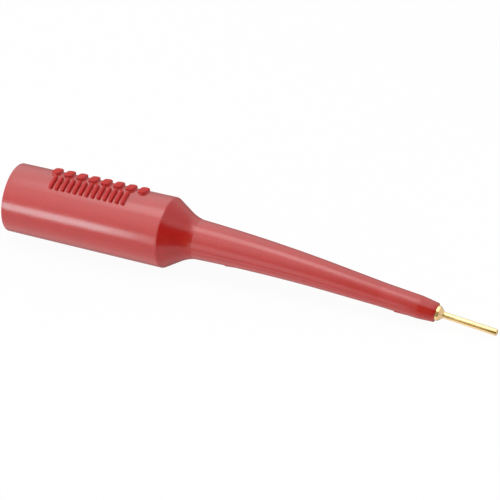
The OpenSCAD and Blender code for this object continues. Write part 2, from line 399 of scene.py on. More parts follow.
class Nodes:
    """A node tree, with short calls for what the finishes and the studio use."""

    def __init__(self, tree: bpy.types.NodeTree) -> None:
        """Keeps the tree."""
        self.tree = tree

    def add(self, kind: str, **settings: object) -> bpy.types.Node:
        """Adds a shader node and sets its properties.

        Args:
            kind: The end of its type's name.
            **settings: Its properties.

        Returns:
            The node.
        """
        node = self.tree.nodes.new("ShaderNode" + kind)
        for key, value in settings.items():
            setattr(node, key, value)
        return node

    def put(self, socket: Socket, value: object) -> None:
        """Links an input to another node's socket, or sets its value.

        Args:
            socket: The input.
            value: The other socket, or a number or colour.
        """
        if isinstance(value, Socket):
            self.tree.links.new(value, socket)
        else:
            socket.default_value = value

    def feed(self, node: bpy.types.Node, **inputs: object) -> bpy.types.Node:
        """Sets or links a node's inputs.

        Args:
            node: The node.
            **inputs: A number, colour or socket for each input, named with _ for a space.

        Returns:
            The same node.
        """
        for key, value in inputs.items():
            self.put(node.inputs[key.replace("_", " ")], value)
        return node

    def math(self, operation: str, *values: object, kind: str = "Math", result: str = "Value",
             **settings: object) -> Socket:
        """Result of a sum.

        Args:
            operation: The node's operation.
            *values: Its numbers, vectors or sockets, in order.
            kind: Math for numbers, or VectorMath.
            result: Name of the output that gives the result.
            **settings: Other properties of the node.

        Returns:
            The socket that gives the result.
        """
        node = self.add(kind, operation=operation, **settings)
        for socket, value in zip(node.inputs, values):
            self.put(socket, value)
        return node.outputs[result]

    def noise(self, place: Socket, scale: Socket, detail: object = 2.0) -> Socket:
        """Value of a noise texture at a place."""
        node = self.feed(self.add("TexNoise"), Vector=place, Scale=scale, Detail=detail)
        return node.outputs["Fac"]

    def ramp(self, value: Socket, result: Pair, given: Pair = (0.0, 1.0), soft: bool = False) -> Socket:
        """Takes a value from one range to another, and holds it there.

        Args:
            value: The value.
            result: The range that it goes to.
            given: The range that it comes from.
            soft: Whether it starts and ends gently.

        Returns:
            The socket that gives the new value.
        """
        node = self.add("MapRange", interpolation_type="SMOOTHSTEP" if soft else "LINEAR")
        names = ("Value", "From Min", "From Max", "To Min", "To Max")
        for name, number in zip(names, (value, *given, *result)):
            self.put(node.inputs[name], number)
        return node.outputs["Result"]

    def choose(self, mask: Socket, low: object, high: object) -> Socket:
        """Number or socket chosen by a mask: low where it is 0 and high where it is 1."""
        return self.feed(self.add("Mix"), Factor=mask, A=low, B=high).outputs["Result"]

    def seen_rays(self) -> Socket:
        """Picks out the rays that show a surface: from the camera, off gloss or through glass.

        Returns:
            The socket that gives their mask.
        """
        rays = self.add("LightPath").outputs
        bounced = self.math("MAXIMUM", rays["Is Glossy Ray"], rays["Is Transmission Ray"])
        return self.math("MAXIMUM", rays["Is Camera Ray"], bounced)


class Effect(Nodes):
    """The node group of an effect that finishes share: a Vector and numbers in, a Mask out."""

    def __init__(self, name: str, **numbers: float) -> None:
        """Starts the group.

        Args:
            name: The group's name.
            **numbers: Its number inputs and their defaults.
        """
        super().__init__(bpy.data.node_groups.new(name, "ShaderNodeTree"))
        new_socket = self.tree.interface.new_socket
        new_socket("Vector", in_out="INPUT", socket_type="NodeSocketVector")
        for key, value in numbers.items():
            new_socket(key, in_out="INPUT", socket_type="NodeSocketFloat").default_value = value
        new_socket("Mask", in_out="OUTPUT", socket_type="NodeSocketFloat")
        self.given = self.tree.nodes.new("NodeGroupInput").outputs

    def finish(self, mask: Socket) -> bpy.types.NodeTree:
        """Puts the mask out, and returns the group's tree."""
        self.put(self.tree.nodes.new("NodeGroupOutput").inputs["Mask"], mask)
        return self.tree


class Effects:
    """The effects that finishes share, each built once."""

    def __init__(self) -> None:
        """Builds every group."""
        self.mottle = self._mottle()
        self.streaks = self._streaks()
        self.wear = self._wear()

    @staticmethod
    def _mottle() -> bpy.types.NodeTree:
        """Soft uneven patches, as in any moulded or plated surface.

        Returns:
            The group's tree.
        """
        effect = Effect("surface_mottle", Scale=1.0, Detail=3.0, Contrast=1.0)
        given = effect.given
        swing = effect.math("SUBTRACT", effect.noise(given["Vector"], given["Scale"], given["Detail"]), 0.5)
        mottle = effect.math("MULTIPLY_ADD", swing, given["Contrast"], 0.5)
        return effect.finish(effect.ramp(mottle, (0.0, 1.0)))

    @staticmethod
    def _streaks() -> bpy.types.NodeTree:
        """Long fine lines along X: flow lines of a moulding or drawing lines of a metal.

        Returns:
            The group's tree.
        """
        effect = Effect("long_streaks", Fineness=1.0, Stretch=12.0)
        given = effect.given
        inverse = effect.math("DIVIDE", 1.0, given["Stretch"])
        squeeze = effect.feed(effect.add("CombineXYZ"), X=inverse, Y=1.0, Z=1.0)
        sources = (given["Vector"], squeeze.outputs["Vector"])
        place = effect.math("MULTIPLY", *sources, kind="VectorMath", result="Vector")
        return effect.finish(effect.noise(place, given["Fineness"]))

    @staticmethod
    def _wear() -> bpy.types.NodeTree:
        """Mask of the rubbed edges, broken up by a noise.

        Returns:
            The group's tree.
        """
        effect = Effect("edge_wear", Radius=0.1 * MM, Breakup=1500.0, Gain=4.0)
        given = effect.given
        rounded_off = effect.feed(effect.add("Bevel", samples=6), Radius=given["Radius"]).outputs["Normal"]
        normal = effect.add("NewGeometry").outputs["Normal"]
        likeness = effect.math("DOT_PRODUCT", rounded_off, normal, kind="VectorMath")
        edges = effect.math("MULTIPLY", effect.math("SUBTRACT", 1.0, likeness), given["Gain"])
        noise = effect.noise(given["Vector"], given["Breakup"])
        return effect.finish(effect.math("MULTIPLY", edges, noise, use_clamp=True))


class Shader(Nodes):
    """The node tree of one material, round its Principled shader."""

    def __init__(self, name: str) -> None:
        """Starts a material.

        Args:
            name: The material's name.
        """
        self.material = bpy.data.materials.new(name)
        self.material.use_nodes = True
        super().__init__(self.material.node_tree)
        self.surface = self.tree.nodes["Principled BSDF"]
        self.place = self.add("TexCoord").outputs["Object"]

    def mask(self, effect: bpy.types.NodeTree, **inputs: float) -> Socket:
        """Mask of a shared effect, with its own values, at the surface's place."""
        node = self.add("Group", node_tree=effect)
        return self.feed(node, Vector=self.place, **inputs).outputs["Mask"]

    def blend(self, mask: Socket, low: object, high: object) -> Socket:
        """Colour between two by a mask.

        Args:
            mask: The mask.
            low: Colour or socket where the mask is 0.
            high: Colour or socket where the mask is 1.

        Returns:
            The socket that gives the colour.
        """
        node = self.add("Mix", data_type="RGBA")
        # A Mix node has sockets for every kind of data: its inputs 6 and 7 and its output 2 are colours.
        for index, value in ((0, mask), (6, low), (7, high)):
            self.put(node.inputs[index], (*value, 1.0) if isinstance(value, tuple) else value)
        return node.outputs[2]

    def axis_distance(self) -> Socket:
        """Distance from the X axis."""
        across = self.math("MULTIPLY", self.place, (0.0, 1.0, 1.0), kind="VectorMath", result="Vector")
        return self.math("LENGTH", across, kind="VectorMath")

    def bump(self, height: Socket, distance: float, under: Socket | None = None) -> Socket:
        """Normal from a height mask.

        Args:
            height: The mask, 0 to 1.
            distance: Height of a full step, in millimetres.
            under: The normal that this one adds to.

        Returns:
            The socket that gives the normal.
        """
        node = self.feed(self.add("Bump"), Height=height, Distance=distance * MM, Strength=1.0)
        if under is not None:
            self.feed(node, Normal=under)
        return node.outputs["Normal"]


@dataclass(frozen=True)
class SatinMoulding:
    """Soft red moulded plastic with a satin skin: fine mottle, flow lines, lightly rubbed edges, and raised
    marks in a darker red that is painted shade.
    """

    name: str = "satin_red_moulding"
    deep: Triple = (0.36, 0.0072, 0.0055)  # the mottle's dark patches
    fresh: Triple = (0.5, 0.0138, 0.0105)  # its light patches
    raised_painted_shade: Triple = (0.47, 0.008, 0.006)  # what stands out of the barrel: a darker red, as painted shade for the shadows between the strokes of the lettering that the marks stand for
    rubbed: Triple = (0.6, 0.05, 0.048)
    roughness: Pair = (0.18, 0.28)
    raised_roughness: float = 0.55  # added on the raised marks
    raised_start: float = 5.62  # distance from the axis
    raised_fade: float = 0.2
    speckle_share: float = 0.5  # of the fine speckle in the mottle

    def make(self, effects: Effects) -> bpy.types.Material:
        """Builds the material.

        Args:
            effects: The shared effects.

        Returns:
            The material.
        """
        shader = Shader(self.name)
        cloud = shader.mask(effects.mottle, Scale=260.0, Detail=4.0, Contrast=1.2)
        speckle = shader.mask(effects.mottle, Scale=2400.0, Detail=3.0, Contrast=1.6)
        grain = shader.mask(effects.mottle, Scale=5200.0, Detail=2.0, Contrast=1.4)
        dents = shader.mask(effects.mottle, Scale=380.0, Detail=0.0, Contrast=1.0)
        flow = shader.mask(effects.streaks, Fineness=1300.0, Stretch=14.0)
        worn = shader.mask(effects.wear, Radius=0.2 * MM, Breakup=1500.0, Gain=3.0)
        fade = (self.raised_start * MM, (self.raised_start + self.raised_fade) * MM)
        # Mask of the raised marks, which take a darker red as painted shade of the lettering's hollows, and a
        # rougher skin.
        raised_painted_shade = shader.ramp(shader.axis_distance(), (0.0, 1.0), fade)
        wide = shader.ramp(cloud, (0.0, 1.0 - self.speckle_share))
        patches = shader.math("MULTIPLY_ADD", speckle, self.speckle_share, wide)
        body = shader.blend(patches, self.deep, self.fresh)
        normal = None
        for height, distance in ((dents, 0.012), (flow, 0.006), (grain, 0.0012)):
            normal = shader.bump(height, distance, normal)
        rough = shader.ramp(cloud, self.roughness)
        shader.feed(
            shader.surface,
            Base_Color=shader.blend(worn, shader.blend(raised_painted_shade, body, self.raised_painted_shade), self.rubbed),
            Roughness=shader.math("MULTIPLY_ADD", raised_painted_shade, self.raised_roughness, rough),
            Normal=normal,
            IOR=1.5,
            Specular_IOR_Level=0.75,
        )
        return shader.material


@dataclass(frozen=True)
class PlatedMetal:
    """Plating over turned metal: turning lines round the axis, faint smudges and rubbed edges."""

    name: str
    tone: Triple
    shade: Triple  # colour of the smudges
    roughness: Pair
    turning: float  # depth of the turning lines
    end_rings: float = 0.0  # how strongly the lines go round on end faces too

    def make(self, effects: Effects) -> bpy.types.Material:
        """Builds the material.

        Args:
            effects: The shared effects.

        Returns:
            The material.
        """
        shader = Shader(self.name)
        smudge = shader.mask(effects.mottle, Scale=700.0, Detail=4.0, Contrast=1.5)
        worn = shader.mask(effects.wear, Radius=0.06 * MM, Breakup=2500.0, Gain=3.0)
        along = shader.feed(shader.add("SeparateXYZ"), Vector=shader.place).outputs["X"]
        phase = shader.math("MULTIPLY_ADD", shader.axis_distance(), self.end_rings, along)
        lines = shader.add("TexWave", bands_direction="X")
        shader.feed(lines, Vector=phase, Scale=900.0, Distortion=1.0, Detail=2.0)
        shader.feed(
            shader.surface,
            Base_Color=shader.blend(worn, shader.blend(smudge, self.shade, self.tone), self.tone),
            Metallic=1.0,
            Roughness=shader.ramp(smudge, self.roughness),
            Normal=shader.bump(lines.outputs["Fac"], self.turning),
        )
        return shader.material


@dataclass(frozen=True)
class DrawnFinish:
    """A drawn or extruded surface, of wire, solder or insulation, with lines along its length."""

    name: str
    tone: Triple
    shade: Triple
    roughness: Pair = (0.25, 0.4)
    metallic: float = 1.0

    def make(self, effects: Effects) -> bpy.types.Material:
        """Builds the material.

        Args:
            effects: The shared effects.

        Returns:
            The material.
        """
        shader = Shader(self.name)
        lines = shader.mask(effects.streaks, Fineness=4000.0, Stretch=20.0)
        patches = shader.mask(effects.mottle, Scale=900.0, Detail=3.0, Contrast=1.4)
        shader.feed(
            shader.surface,
            Base_Color=shader.blend(patches, self.shade, self.tone),
            Metallic=self.metallic,
            Roughness=shader.ramp(lines, self.roughness),
            Normal=shader.bump(lines, 0.002),
        )
        return shader.material


class Finishes:
    """Every finish of the adapter, made once."""

    def __init__(self) -> None:
        """Builds the shared effects and the materials."""
        gold = PlatedMetal("bright_gold_plate", tone=(1.0, 0.7, 0.36), shade=(0.97, 0.655, 0.3),
                           roughness=(0.16, 0.24), turning=0.0003)
        nickel = PlatedMetal("nickel_plate", tone=(0.74, 0.72, 0.68), shade=(0.62, 0.60, 0.56),
                             roughness=(0.18, 0.3), turning=0.002, end_rings=1.0)
        solder = DrawnFinish("tin_solder", tone=(0.66, 0.67, 0.68), shade=(0.5, 0.51, 0.52))
        tinned = DrawnFinish("tinned_copper", tone=(0.78, 0.75, 0.71), shade=(0.6, 0.57, 0.53))
        jacket = DrawnFinish("wire_insulation", tone=(0.4, 0.02, 0.02), shade=(0.3, 0.015, 0.015),
                             roughness=(0.4, 0.5), metallic=0.0)
        effects = Effects()
        self.moulding = SatinMoulding().make(effects)
        self.gold = gold.make(effects)
        self.nickel = nickel.make(effects)
        self.solder = solder.make(effects)
        self.tinned = tinned.make(effects)
        self.jacket = jacket.make(effects)


@dataclass(frozen=True)
class Piece:
    """A finished piece."""

    thing: bpy.types.Object
    finish: bpy.types.Material
    slot: str
    node: str

    def fix(self) -> None:
        """Dresses the piece and fixes it to the frame in its node's place."""
        dress(self.thing, self.finish)
        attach(self.thing, BODY)
        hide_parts(self.node)


@dataclass(frozen=True)
class RaisedMark:
    """A row of like raised marks round the top of the barrel."""

    name: str
    count: int
    start: float  # from the mouth to the first mark's middle
    pitch: float
    lean: float  # degrees from the top to the row, towards -Y
    along: float  # width along the barrel
    around: float  # length round the barrel
    height: float = 0.45
    sink: float = 0.3  # reach into the barrel
    edge: float = 0.13  # rounding of the top edge
    draft: float = 0.05
    foot: float = 0.07  # height of half the flare at its foot
    sides: int = 28  # of its two round ends together
    cuts: int = 8  # strips that bend with the barrel

    def _model(self, bend_radius: float) -> bpy.types.Object:
        """Models one mark, bent round the barrel.

        Args:
            bend_radius: Radius of the barrel under the mark.

        Returns:
            The mark, with X round the barrel, Y out of it and Z along it, and its origin on the skin.
        """
        long_side = max(self.along, self.around)
        short_side = min(self.along, self.around)
        start_fresh()
        bpy.ops.mesh.primitive_cylinder_add(
            vertices=self.sides,
            radius=short_side / 2.0,
            depth=self.height + self.sink,
            location=(0.0, (self.height - self.sink) / 2.0, 0.0),
            rotation=(math.pi / 2.0, 0.0, math.pi / self.sides),
        )
        mark = bpy.context.object
        mark.name = self.name
        bake_place(mark)
        stretch = (long_side - short_side) / 2.0
        for side in (-1.0, 1.0):
            select_vertices(mark, lambda co, side=side: co.x * side > 0.0)
            bpy.ops.transform.translate(value=(side * stretch, 0.0, 0.0))
        self._shape_sides(mark, long_side, short_side)
        select_vertices(mark, lambda co: co.y > self.height - self.edge)
        round_edges(self.edge, 4)
        for index in range(1, self.cuts):
            cut_through((long_side * (index / self.cuts - 0.5), 0.0, 0.0), (1.0, 0.0, 0.0))
        bpy.ops.object.mode_set(mode="OBJECT")
        self._bend(mark, bend_radius)
        return mark

    def _shape_sides(self, mark: bpy.types.Object, long_side: float, short_side: float) -> None:
        """Gives the mark's wall its draft and a foot that flares into the barrel.

        Args:
            mark: The straight mark.
            long_side: Its length.
            short_side: Its width.
        """
        edit(mark)
        for level in (0.0, self.foot, 2.0 * self.foot):
            cut_through((0.0, level, 0.0), (0.0, 1.0, 0.0))
        # Each step widens the mark by a margin at all heights up to a level.
        for level, margin in (
            (self.height - self.edge, self.draft / 3.0),
            (self.foot * 1.5, self.draft / 3.0 + self.foot * 0.2),
            (self.foot * 0.5, self.foot * 0.8),
        ):
            select_vertices(mark, lambda co, level=level: co.y < level)
            factors = (1.0 + 2.0 * margin / long_side, 1.0, 1.0 + 2.0 * margin / short_side)
            bpy.ops.transform.resize(value=factors, center_override=(0.0, 0.0, 0.0))

    def _bend(self, mark: bpy.types.Object, bend_radius: float) -> None:
        """Turns the mark into place and bends it round the barrel.

        Args:
            mark: The straight mark.
            bend_radius: Radius of the barrel under it.
        """
        if self.along > self.around:
            mark.rotation_euler = (0.0, math.pi / 2.0, 0.0)
            bake_place(mark)
        bend = mark.modifiers.new("wrap", "SIMPLE_DEFORM")
        bend.deform_method = "BEND"
        bend.deform_axis = "Z"
        bend.angle = -mark.dimensions.x / bend_radius
        only(mark)
        bpy.ops.object.modifier_apply(modifier=bend.name)

    def build(self, moulding: "Moulding") -> list[bpy.types.Object]:
        """Models the mark and copies it along the barrel.

        Args:
            moulding: The moulding that carries the marks.

        Returns:
            The marks in place.
        """
        first = moulding.mouth + self.start
        model = self._model(moulding.skin(first))
        upright = Euler((math.pi / 2.0, 0.0, math.pi / 2.0)).to_matrix().to_4x4()
        marks = []
        for index in range(self.count):
            station = first + index * self.pitch
            only(model)
            bpy.ops.object.duplicate(linked=False)
            copy = bpy.context.object
            copy.matrix_world = moulding.line.place(station, self.lean, moulding.skin(station)) @ upright
            bake_place(copy)
            marks.append(copy)
        bpy.data.objects.remove(model)
        return marks


@dataclass(frozen=True)
class GateNib:
    """A low wedge of plastic left on the moulding, steep towards the barrel and fading towards the tip."""

    station: float
    roll: float  # degrees from the top to the nib, towards -Y
    length: float
    width: float
    height: float = 0.13
    sink: float = 0.4  # reach into the nose
    fade: float = 1.4  # drop of its low end, as a share of the height
    softness: float = 0.9  # rounding of its edges, as a share of the height

    def build(self, moulding: "Moulding") -> bpy.types.Object:
        """Models the nib in place.

        Args:
            moulding: The moulding that carries the nib.

        Returns:
            The nib.
        """
        start_fresh()
        bpy.ops.mesh.primitive_cube_add(size=1.0)
        nib = bpy.context.object
        nib.name = "gate_nib"
        nib.scale = (self.length, self.width, self.height + self.sink)
        nib.location = (0.0, 0.0, (self.height - self.sink) / 2.0)
        bake_place(nib)
        select_vertices(nib, lambda co: co.x > 0.0 and co.z > 0.0)
        bpy.ops.transform.translate(value=(0.0, 0.0, -self.fade * self.height))
        select_vertices(nib, lambda co: co.z > -self.height)
        round_edges(self.softness * self.height, 5)
        bpy.ops.object.mode_set(mode="OBJECT")
        nib.matrix_world = moulding.line.place(self.station, self.roll, moulding.skin(self.station))
        bake_place(nib)
        return nib


@dataclass(frozen=True)
class Grooves:
    """Locking grooves round a turned piece, which hold it in the moulding."""

    count: int
    pitch: float  # from the start of one to the start of the next
    width: float
    floor: float  # radius at the bottom of a groove

    def corners(self, origin: float, rim: float) -> list[Corner]:
        """Corners of the grooves in order.

        Args:
            origin: Station one pitch before the first groove.
            rim: Radius of the piece beside the grooves.

        Returns:
            The sharp corners of every groove.
        """
        corners = []
        for index in range(1, self.count + 1):
            start = origin + index * self.pitch
            end = start + self.width
            outline = ((start, rim), (start, self.floor), (end, self.floor), (end, rim))
            corners += [Corner(*point) for point in outline]
        return corners


@dataclass(frozen=True)
class PinContact:
    """The turned pin contact: cup and grooved shank inside, collar, cone and pin outside."""

    line: Centreline
    rear: float = 57.85  # where the solder cup opens
    face: float = 69.15  # of the nose, where the collar starts
    shank_radius: float = 1.15  # and the collar's
    cup_radius: float = 0.7
    cup_depth: float = 2.4
    grooves: Grooves = Grooves(count=2, pitch=2.2, width=1.0, floor=0.9)
    collar: float = 0.45
    cone: float = 0.65
    pin_radius: float = 0.508
    pin_length: float = 8.6
    pin_chamfer: float = 0.14

    def groove_corners(self) -> list[Corner]:
        """Corners of the shank's grooves, which start past the cup."""
        return self.grooves.corners(self.rear + self.cup_depth, self.shank_radius)

    def build(self) -> bpy.types.Object:
        """Models the contact.

        Returns:
            The contact in place.
        """
        collar_end = self.face + self.collar
        cone_end = collar_end + self.cone
        pin_end = cone_end + self.pin_length
        corners = [
            Corner(self.rear + self.cup_depth, 0.0),
            Corner(self.rear + self.cup_depth, self.cup_radius, 0.1, 2),
            Corner(self.rear, self.cup_radius),
            Corner(self.rear, self.shank_radius, 0.05, 2),
            *self.groove_corners(),
            Corner(collar_end, self.shank_radius, 0.1, 4),
            Corner(cone_end, self.pin_radius, 0.25, 6),
            Corner(pin_end - self.pin_chamfer, self.pin_radius, 0.1, 4),
            Corner(pin_end, self.pin_radius - self.pin_chamfer, 0.08, 4),
            Corner(pin_end, 0.0),
        ]
        return smooth(TurnedShell(self.line, sides=96, longest=2.0).build("gold_pin", corners), 40.0)


@dataclass(frozen=True)
class Jack:
    """The jack: a bored sleeve, and the terminal that is pressed into its back."""

    line: Centreline
    sleeve_radius: float = 2.8  # and the flange's
    sleeve_length: float = 21.0
    bore_radius: float = 2.03
    bore_depth: float = 19.0
    bevel_radius: float = 2.23
    bevel_depth: float = 0.25
    head_radius: float = 2.25  # of the terminal's head, behind the bore
    grooves: Grooves = Grooves(count=2, pitch=6.0, width=1.0, floor=2.55)
    flange_end: float = 21.8
    post_radius: float = 1.5
    post_end: float = 25.25  # where the terminal's solder cup opens
    cup_radius: float = 0.7
    cup_depth: float = 2.4

    def groove_corners(self) -> list[Corner]:
        """Corners of the sleeve's grooves."""
        return self.grooves.corners(0.0, self.sleeve_radius)

    def build_sleeve(self) -> bpy.types.Object:
        """Models the sleeve, with a bevelled way in.

        Returns:
            The sleeve in place.
        """
        corners = [
            Corner(0.0, self.bevel_radius, 0.05, 2),
            Corner(0.0, self.sleeve_radius, 0.04, 2),
            *self.groove_corners(),
            Corner(self.sleeve_length, self.sleeve_radius),
            Corner(self.sleeve_length, self.head_radius),
            Corner(self.bore_depth, self.head_radius),
            Corner(self.bore_depth, self.bore_radius),
            Corner(self.bevel_depth, self.bore_radius, 0.1, 3),
        ]
        return smooth(TurnedShell(self.line, sides=128, longest=4.0).build("nickel_sleeve", corners), 35.0)

    def build_terminal(self) -> bpy.types.Object:
        """Models the terminal: head, flange and post with its solder cup.

        Returns:
            The terminal in place.
        """
        cup_end = self.post_end - self.cup_depth
        corners = [
            Corner(self.bore_depth, 0.0),
            Corner(self.bore_depth, self.head_radius),
            Corner(self.sleeve_length, self.head_radius),
            Corner(self.sleeve_length, self.sleeve_radius),
            Corner(self.flange_end, self.sleeve_radius, 0.08, 3),
            Corner(self.flange_end, self.post_radius),
            Corner(self.post_end, self.post_radius, 0.05, 2),
            Corner(self.post_end, self.cup_radius),
            Corner(cup_end, self.cup_radius, 0.1, 2),
            Corner(cup_end, 0.0),
        ]
        return smooth(TurnedShell(self.line, sides=96, longest=4.0).build("nickel_terminal", corners), 35.0)


@dataclass(frozen=True)
class Wire:
    """The space that the wire and its solder take, whose CAD meshes stay."""

    bundle_radius: float = 0.51  # of the bare strands together
    jacket_radius: float = 0.95
    bare_length: float = 1.4  # behind each contact
    solder_fillet: float = 0.5
    bare_rim: float = 0.2  # width of a cup's rim that the solder leaves bare

    def corners(self, cup: float, radius: float, away: float) -> list[Corner]:
        """Corners of the space behind a solder cup, from the cup to the insulation.

        Args:
            cup: Station of the cup's rim.
            radius: Radius of the piece that has the cup.
            away: Way from the cup to the wire along the centreline, 1 or -1.

        Returns:
            The sharp corners.
        """
        bare = cup + away * self.bare_length
        return [
            Corner(cup, radius),
            Corner(cup, radius - self.bare_rim),
            Corner(cup + away * self.solder_fillet, self.bundle_radius),
            Corner(bare, self.bundle_radius),
            Corner(bare, self.jacket_radius),
        ]


@dataclass(frozen=True)
class Moulding:
    """The red moulding: barrel, shoulder and nose outside, and the seats of the inner pieces inside."""

    line: Centreline
    contact: PinContact
    jack: Jack
    wire: Wire
    mouth: float = -1.2  # the barrel's open end
    mouth_radius: float = 5.45
    shoulder: float = 25.25
    shoulder_radius: float = 5.6
    neck: float = 28.84  # the corner that the hollow curve rounds
    neck_radius: float = 3.357
    neck_rounding: float = 6.7
    nose_start: float = 30.07
    root_radius: float = 3.12
    land: float = 8.9  # length of the slimmer stretch at the nose's end
    land_radius: float = 1.875
    tip: float = 2.65  # length of the last taper
    tip_radius: float = 1.775
    face_radius: float = 1.5
    recess_radius: float = 2.6
    lead_in: float = 0.5  # size of the recess's rounded way in
    sides: int = 192
    parting_angle: float = 5.0  # degrees from the sides
    parting_height: float = 0.035
    parting_gaps: Pair = (4.0, 0.6)  # to the shoulder and to the face
    inner_limit: float = 1.3  # only the nose's skin lies beyond it
    marks: tuple[RaisedMark, ...] = (
        RaisedMark("grip_rib", count=13, start=7.3, pitch=1.02, lean=14.0, along=0.52, around=2.6),
        RaisedMark("grip_pip", count=8, start=6.7, pitch=2.1, lean=-17.0, along=1.35, around=2.4),
    )
    nibs: tuple[GateNib, ...] = (
        GateNib(station=36.2, roll=144.0, length=1.8, width=1.0),
        GateNib(station=64.2, roll=144.0, length=2.6, width=0.9),
    )

    def outside(self) -> list[Corner]:
        """Corners of the moulding's outside.

        Returns:
            The corners from its mouth to the face at the nose's end.
        """
        face = self.contact.face
        return [
            Corner(self.mouth, self.mouth_radius, 0.15, 5),
            Corner(self.shoulder, self.shoulder_radius, 0.8, 8),
            Corner(self.neck, self.neck_radius, self.neck_rounding, 18),
            Corner(self.nose_start, self.root_radius, 0.6, 3),
            Corner(face - self.land, self.land_radius, 30.0, 4),
            Corner(face - self.tip, self.tip_radius, 6.0, 4),
            Corner(face, self.face_radius, 0.2, 6),
        ]

    def inside(self) -> list[Corner]:
        """Corners of the space for the inner pieces.

        Returns:
            The corners from the face back to the mouth.
        """
        contact, jack = self.contact, self.jack
        return [
            Corner(contact.face, contact.shank_radius),
            *reversed(contact.groove_corners()),
            *self.wire.corners(contact.rear, contact.shank_radius, -1.0),
            *reversed(self.wire.corners(jack.post_end, jack.post_radius, 1.0)),
            Corner(jack.flange_end, jack.post_radius),
            Corner(jack.flange_end, jack.sleeve_radius),
            *reversed(jack.groove_corners()),
            Corner(0.0, jack.sleeve_radius),
            Corner(0.0, self.recess_radius, 0.05, 2),
            Corner(self.mouth + self.lead_in, self.recess_radius, 0.3, 5),
            Corner(self.mouth, self.recess_radius + self.lead_in, 0.15, 5),
        ]

    def skin(self, station: float) -> float:
        """Radius of the moulding's outside at a station.

        Args:
            station: Distance along the centreline.

        Returns:
            The radius in millimetres.
        """
        rings = trace([Corner(self.mouth, 0.0), *self.outside(), Corner(self.contact.face, 0.0)], 1.0)
        for last, ring in zip(rings, rings[1:]):
            if last.station <= station <= ring.station and ring.station > last.station:
                share = (station - last.station) / (ring.station - last.station)
                return last.radius + (ring.radius - last.radius) * share
        raise ValueError(f"station {station} is off the moulding")

    def build(self) -> bpy.types.Object:
        """Models the whole moulding.

        Returns:
            The moulding in place.
        """
        shell = TurnedShell(self.line, self.sides, longest=0.8)
        body = shell.build("red_body", self.outside() + self.inside())
        self._raise_parting_line(body)
        extras = [mark for row in self.marks for mark in row.build(self)]
        extras += [nib.build(self) for nib in self.nibs]
        self._unite(body, extras)
        return smooth(body, 38.0)

    def _raise_parting_line(self, body: bpy.types.Object) -> None:
        """Lifts one line of vertices on each side of the nose, where the two halves of the mould met.

        Args:
            body: The moulding's smooth shell.
        """
        half_step = 180.0 / self.sides
        start = self.line.point(self.shoulder + self.parting_gaps[0]).x
        end = self.line.point(self.contact.face - self.parting_gaps[1]).x

        def on_line(co: Vector) -> bool:
            """Whether a place on the nose's skin lies on the parting line.

            Args:
                co: The place.

            Returns:
                True where it does.
            """
            height = co.z - self.line.height_at(co.x)
            side = math.degrees(math.atan2(height, -co.y))
            near = abs((side + self.parting_angle + 90.0) % 180.0 - 90.0) < half_step
            return near and start < co.x < end and math.hypot(co.y, height) > self.inner_limit * MM

        select_vertices(body, on_line)
        bpy.ops.transform.shrink_fatten(value=self.parting_height * MM)
        bpy.ops.object.mode_set(mode="OBJECT")

    @staticmethod
    def _unite(body: bpy.types.Object, extras: list[bpy.types.Object]) -> None:
        """Joins the raised forms to the body with one Boolean.

        Args:
            body: The moulding's shell.
            extras: The raised forms.
        """
        only(extras[0])
        for extra in extras:
            extra.select_set(True)
        bpy.ops.object.join()
        joined = bpy.context.object
        only(body)
        union = body.modifiers.new("raised_forms", "BOOLEAN")
        union.operation = "UNION"
        union.solver = "EXACT"
        union.object = joined
        bpy.ops.object.modifier_apply(modifier=union.name)
        bpy.data.objects.remove(joined)


@dataclass(frozen=True)
class Panel:
    """A rectangle that hangs beside the adapter, in millimetres, out of the camera's sight."""

    name: str
    place: Triple  # of its middle
    aim: Triple  # the point that it faces
    width: float  # along the horizontal
    height: float  # the other way

    def hang_up(self, thing: bpy.types.Object) -> None:
        """Puts the panel's object in its place and hides it from the camera.

        Args:
            thing: The lamp or the card.
        """
        thing.location = Vector(self.place) * MM
        thing.rotation_euler = (Vector(self.place) - Vector(self.aim)).to_track_quat("Z", "Y").to_euler()
        thing.visible_camera = False


@dataclass(frozen=True)
class Softbox(Panel):
    """A lamp."""

    brightness: float  # its radiance, where a white background is 1
    reach: Reach = Reach.LIGHT_AND_GLOSS
    tint: Triple = (1.0, 1.0, 1.0)

    def hang(self) -> None:
        """Adds the lamp to the scene."""
        lamp = bpy.data.lights.new(self.name, "AREA")
        lamp.shape = "RECTANGLE"
        lamp.size = self.width * MM
        lamp.size_y = self.height * MM
        lamp.color = self.tint
        lamp.energy = self.brightness * math.pi * lamp.size * lamp.size_y
        thing = bpy.data.objects.new(self.name, lamp)
        bpy.context.scene.collection.objects.link(thing)
        thing.visible_diffuse, thing.visible_glossy = self.reach.value
        self.hang_up(thing)


